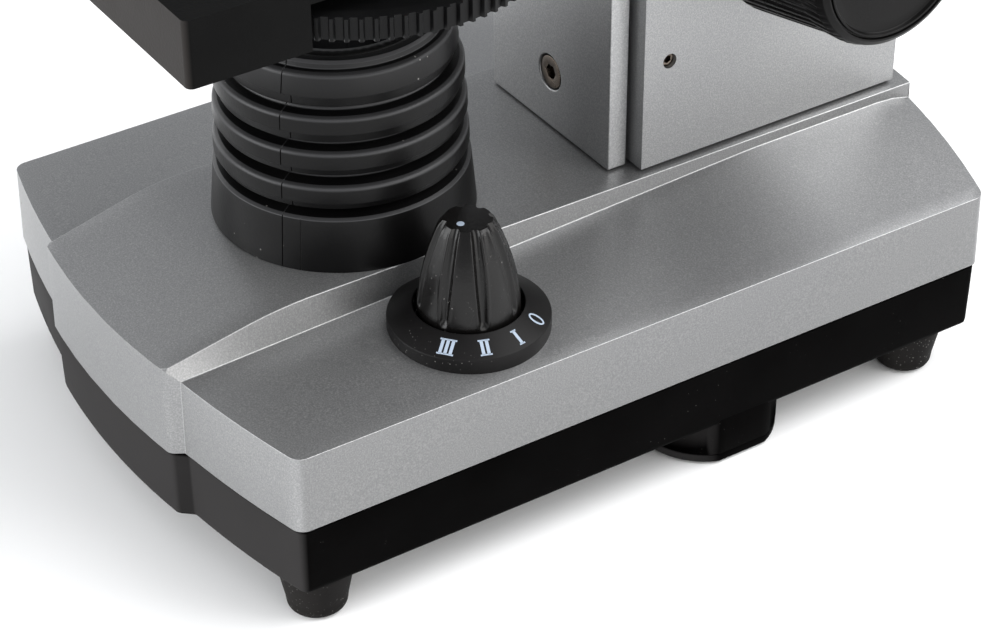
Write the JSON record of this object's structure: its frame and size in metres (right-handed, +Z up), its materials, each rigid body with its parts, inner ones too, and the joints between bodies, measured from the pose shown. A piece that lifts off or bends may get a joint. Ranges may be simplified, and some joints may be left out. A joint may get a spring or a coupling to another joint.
{
  "type": "microscope",
  "caption": "Student monocular microscope with a stacked-ring lower light tower, rotary light switch, disc diaphragm, rack focusing, turning nosepiece and inclined eyepiece.",
  "frame": {"origin": "centre of the base's plan, on the ground under the feet", "axes": "+X to the switch's side, -Y to the user's side with the stage, +Y to the arm's back, +Z up"},
  "size_m": [0.12, 0.1794, 0.3138],
  "materials": {
    "silver_paint": "satin silver paint with a fine metallic speckle",
    "black_plastic": "satin black moulded plastic",
    "knob_plastic": "satin black moulded plastic",
    "rubber": "soft black rubber",
    "steel": "bright steel",
    "zinc": "zinc-plated steel",
    "brass": "machined brass",
    "chrome": "polished chrome plating",
    "aluminium": "machined aluminium",
    "cell_wrap": "printed shrink wrap",
    "nickel": "nickel-plated spring steel",
    "circuit": "green solder mask",
    "white_board": "white solder mask",
    "lens": "clear optical glass",
    "led": "phosphor yellow dome",
    "gasket": "thin black gasket"
  },
  "bodies": {
    "frame": {"base_cover": "silver_paint", "base_pan": "black_plastic", "feet": "rubber", "base_screws": "zinc", "batteries": "cell_wrap", "battery_contacts": "nickel", "main_board": "circuit", "power_jack": "black_plastic", "light_tower": "black_plastic", "lens_ring": "black_plastic", "tower_lens": "lens", "lower_led_board": "white_board", "lower_led": "led", "dial_skirt": "black_plastic", "rotary_switch": "black_plastic", "arm": "silver_paint", "arm_gasket": "gasket", "arm_screws": "zinc", "arm_back_cover": "silver_paint", "guide_rails": "brass", "gib_screws": "zinc", "shaft_bushes": "brass", "nosepiece_mount": "aluminium", "turret_screw": "steel", "head_collar": "black_plastic", "head_lock_screw": "steel", "upper_lamp": "black_plastic", "upper_led": "led"},
    "door": {"battery_door": "black_plastic"},
    "knob": {"switch_knob": "knob_plastic", "switch_shaft": "aluminium"},
    "focus": {"focus_shaft": "steel", "focus_pinion": "brass", "focus_knob_left": "knob_plastic", "focus_knob_right": "knob_plastic", "focus_knob_caps": "knob_plastic"},
    "carriage": {"stage_carriage": "silver_paint", "carriage_screws": "zinc", "focus_slider": "aluminium", "focus_rack": "brass", "stage_bracket": "black_plastic", "stage": "black_plastic", "diaphragm_pivot": "steel", "clip_pins": "steel"},
    "wheel": {"diaphragm_wheel": "black_plastic"},
    "clip_l": {"clip_left": "chrome"},
    "clip_r": {"clip_right": "chrome"},
    "turret": {"nosepiece_turret": "chrome", "objective_4x": "chrome", "objective_10x": "chrome", "objective_40x": "chrome", "objective_lenses": "lens"},
    "tip": {"objective_40x_tip": "chrome"},
    "head_body": {"head": "silver_paint", "prism": "lens", "eyepiece_tube": "black_plastic"},
    "ocular": {"eyepiece": "knob_plastic", "eyepiece_lenses": "lens"}
  },
  "joints": [
    {"name": "door_slide", "type": "slide", "parent": "frame", "child": "door", "axis": [0, 1, 0], "range_m": [0, 0.02]},
    {"name": "light_switch", "type": "hinge", "parent": "frame", "child": "knob", "pos_m": [0.0408, -0.0312, 0.05], "axis": [0, 0, 1], "range_deg": [0, 90]},
    {"name": "stage_lift", "type": "slide", "parent": "frame", "child": "carriage", "axis": [0, 0, 1], "range_m": [0, 0.0155]},
    {"name": "focus_turn", "type": "hinge", "parent": "frame", "child": "focus", "pos_m": [0, 0.055, 0.1017], "axis": [1, 0, 0], "range_deg": [-149, 0]},
    {"name": "diaphragm_turn", "type": "hinge", "parent": "carriage", "child": "wheel", "pos_m": [0.0191, -0.03975, 0.118], "axis": [0, 0, 1], "continuous": true},
    {"name": "clip_left_turn", "type": "hinge", "parent": "carriage", "child": "clip_l", "pos_m": [-0.031, -0.0085, 0.1285], "axis": [0, 0, 1], "range_deg": [-30, 30]},
    {"name": "clip_right_turn", "type": "hinge", "parent": "carriage", "child": "clip_r", "pos_m": [0.031, -0.0085, 0.1285], "axis": [0, 0, 1], "range_deg": [-30, 30]},
    {"name": "nosepiece_turn", "type": "hinge", "parent": "frame", "child": "turret", "pos_m": [0, -0.04914, 0.19329], "axis": [0, 0.309, 0.9511], "continuous": true},
    {"name": "tip_spring", "type": "slide", "parent": "turret", "child": "tip", "axis": [-0.2676, 0.4408, 0.8568], "range_m": [0, 0.0015], "stiffness_N_per_m": 600, "springref_m": -0.002},
    {"name": "head_turn", "type": "hinge", "parent": "frame", "child": "head_body", "pos_m": [0, -0.0344, 0.23], "axis": [0, 0, 1], "continuous": true},
    {"name": "eyepiece_pull", "type": "slide", "parent": "head_body", "child": "ocular", "axis": [0, 0.7071, 0.7071], "range_m": [0, 0.02]}
  ],
  "couplings": [
    {"joint": "focus_turn", "follows": "stage_lift", "rad_per_m": -166.67}
  ]
}
